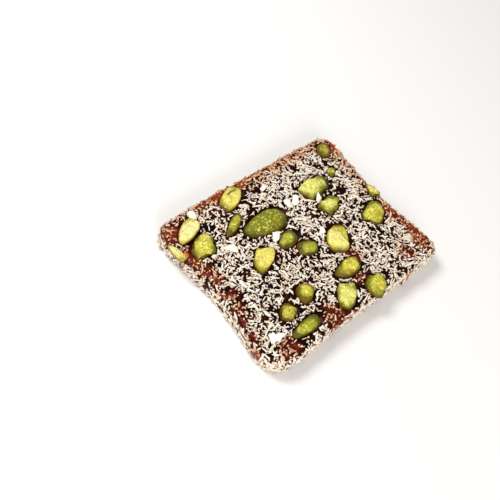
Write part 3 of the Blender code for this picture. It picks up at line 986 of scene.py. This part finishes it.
def strip_points(poses, draw):
    """The corners of a strip for each pose, ring by ring. Each bends, twists and narrows by its own draw."""
    centres, lines, normals, lengths, widths, thick, _ = (np.array(column) for column in zip(*poses))
    count = len(poses)
    across = np.cross(normals, lines)
    across /= np.linalg.norm(across, axis=1, keepdims=True)
    ups = np.cross(lines, across)
    bends = draw.normal(0, BEND, count) * lengths
    arches = draw.normal(0, ARCH, count) * lengths
    twists = draw.normal(0, TWIST, count)
    corners = np.array(((-1, -1), (1, -1), (1, 1), (-1, 1))) / 2
    points = np.zeros((count, len(RING_PLACES), len(corners), 3))
    for ring, (place, narrows) in enumerate(zip(RING_PLACES, RING_NARROWS)):
        turn = twists * place
        narrow = draw.uniform(*narrows, count)
        for corner, (side, level) in enumerate(corners):
            flat_y = side * widths * narrow * draw.uniform(*CORNER_WIDTHS, count)
            flat_z = level * thick * np.maximum(narrow, THINNEST)
            y = flat_y * np.cos(turn) - flat_z * np.sin(turn) + bends * place * place
            z = flat_y * np.sin(turn) + flat_z * np.cos(turn) + arches * (0.5 - place * place) + thick / 2
            x = (place + draw.uniform(-RING_SHIFT, RING_SHIFT, count)) * lengths / 2
            points[:, ring, corner] = centres + lines * x[:, None] + across * y[:, None] + ups * z[:, None]
    return points


def strip_faces(count):
    """The faces of the strips: four sides from each ring to the next, and both ends."""
    one = []
    for here in range(0, 4 * (len(RING_PLACES) - 1), 4):
        there = here + 4
        for corner in range(4):
            following = (corner + 1) % 4
            one.append((here + corner, there + corner, there + following, here + following))
    one.append((0, 1, 2, 3))
    last = 4 * (len(RING_PLACES) - 1)
    one.append((last + 3, last + 2, last + 1, last))
    return np.array(one)[None] + (np.arange(count) * 4 * len(RING_PLACES))[:, None, None]


def scatter(poses, name, material, draw):
    """Joins a strip of coconut for each pose into one piece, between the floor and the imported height."""
    points = strip_points(poses, draw)
    lowest = points[..., 2].min(axis=(1, 2))
    highest = points[..., 2].max(axis=(1, 2))
    points[..., 2] += np.maximum(FLOOR_GAP - lowest, 0)[:, None, None]
    points[..., 2] -= np.maximum(highest - cad_box[1].z, 0)[:, None, None]
    data = bpy.data.meshes.new(name)
    data.from_pydata(points.reshape(-1, 3).tolist(), [], strip_faces(len(poses)).reshape(-1, 4).tolist())
    mesh = bmesh.new()
    mesh.from_mesh(data)
    bpy.data.meshes.remove(data)
    bmesh.ops.recalc_face_normals(mesh, faces=mesh.faces)
    thing = to_object(mesh, name, material)
    thing.data.set_sharp_from_angle(angle=SHARP_ANGLE)
    corners = 4 * len(RING_PLACES)
    set_attribute(thing.data, "stain", np.repeat([pose[-1] for pose in poses], corners))
    set_attribute(thing.data, "edge", np.repeat([thinness(pose[0]) for pose in poses], corners))
    return thing


def make_beads(tree, draw):
    """Flattened drops on the jelly: large ones at their places, and small ones all over the bare places."""
    drops = [(x * MM, y * MM, size * MM) for x, y, size in BEADS]
    while len(drops) < len(BEADS) + SMALL_BEADS:
        x, y, radius = BARE_PLACES[draw.integers(len(BARE_PLACES))]
        angle = draw.uniform(0, 2 * math.pi)
        reach = radius * math.sqrt(draw.random())
        size = draw.uniform(*SMALL_BEAD)
        drops.append(((x + reach * math.cos(angle)) * MM, (y + reach * math.sin(angle)) * MM, size))
    mesh = bmesh.new()
    for x, y, size in drops:
        ground = drop(tree, x, y)
        if ground is None:
            continue
        bead = bmesh.ops.create_icosphere(mesh, subdivisions=2, radius=size / 2)["verts"]
        for vert in bead:
            vert.co *= 1 + BEAD_NOISE * noise.noise(vert.co / (size * BEAD_NOISE_LENGTH) + ground / MM)
            vert.co.z *= BEAD_HEIGHT
            vert.co += ground
    thing = to_object(mesh, "jelly_beads", bead_material())


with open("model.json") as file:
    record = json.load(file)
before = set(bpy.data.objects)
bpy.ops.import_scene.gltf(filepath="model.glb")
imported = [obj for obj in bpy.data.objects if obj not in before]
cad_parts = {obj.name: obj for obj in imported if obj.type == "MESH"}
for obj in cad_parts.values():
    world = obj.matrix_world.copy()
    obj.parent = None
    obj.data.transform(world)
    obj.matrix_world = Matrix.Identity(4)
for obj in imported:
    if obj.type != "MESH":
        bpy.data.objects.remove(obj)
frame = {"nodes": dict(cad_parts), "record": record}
cad_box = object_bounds()
make_camera()
make_studio()
kernels = make_kernels()
shown = kernels["top"] + kernels["side"]
kernel_tree = tree_of(*shown)
core = make_core(kernel_tree)
surface = tree_of(core, *shown)
coconut = coconut_material()
draw = np.random.default_rng(SEED)
jelly = tree_of(core)
shreds = shreds_on_top(LOWER, jelly, kernel_tree, draw) + shreds_on_top(UPPER, surface, kernel_tree, draw)
scatter(shreds + chips_on_top(surface), "coconut_top", coconut, draw)
scatter(shreds_on_top(CRUMBS, jelly, kernel_tree, draw), "coconut_crumbs", coconut, draw)
scatter(shreds_on_side(jelly, draw), "coconut_sides", coconut, draw)
scatter(shreds_on_base(draw), "coconut_base", coconut, draw)
make_beads(jelly, draw)
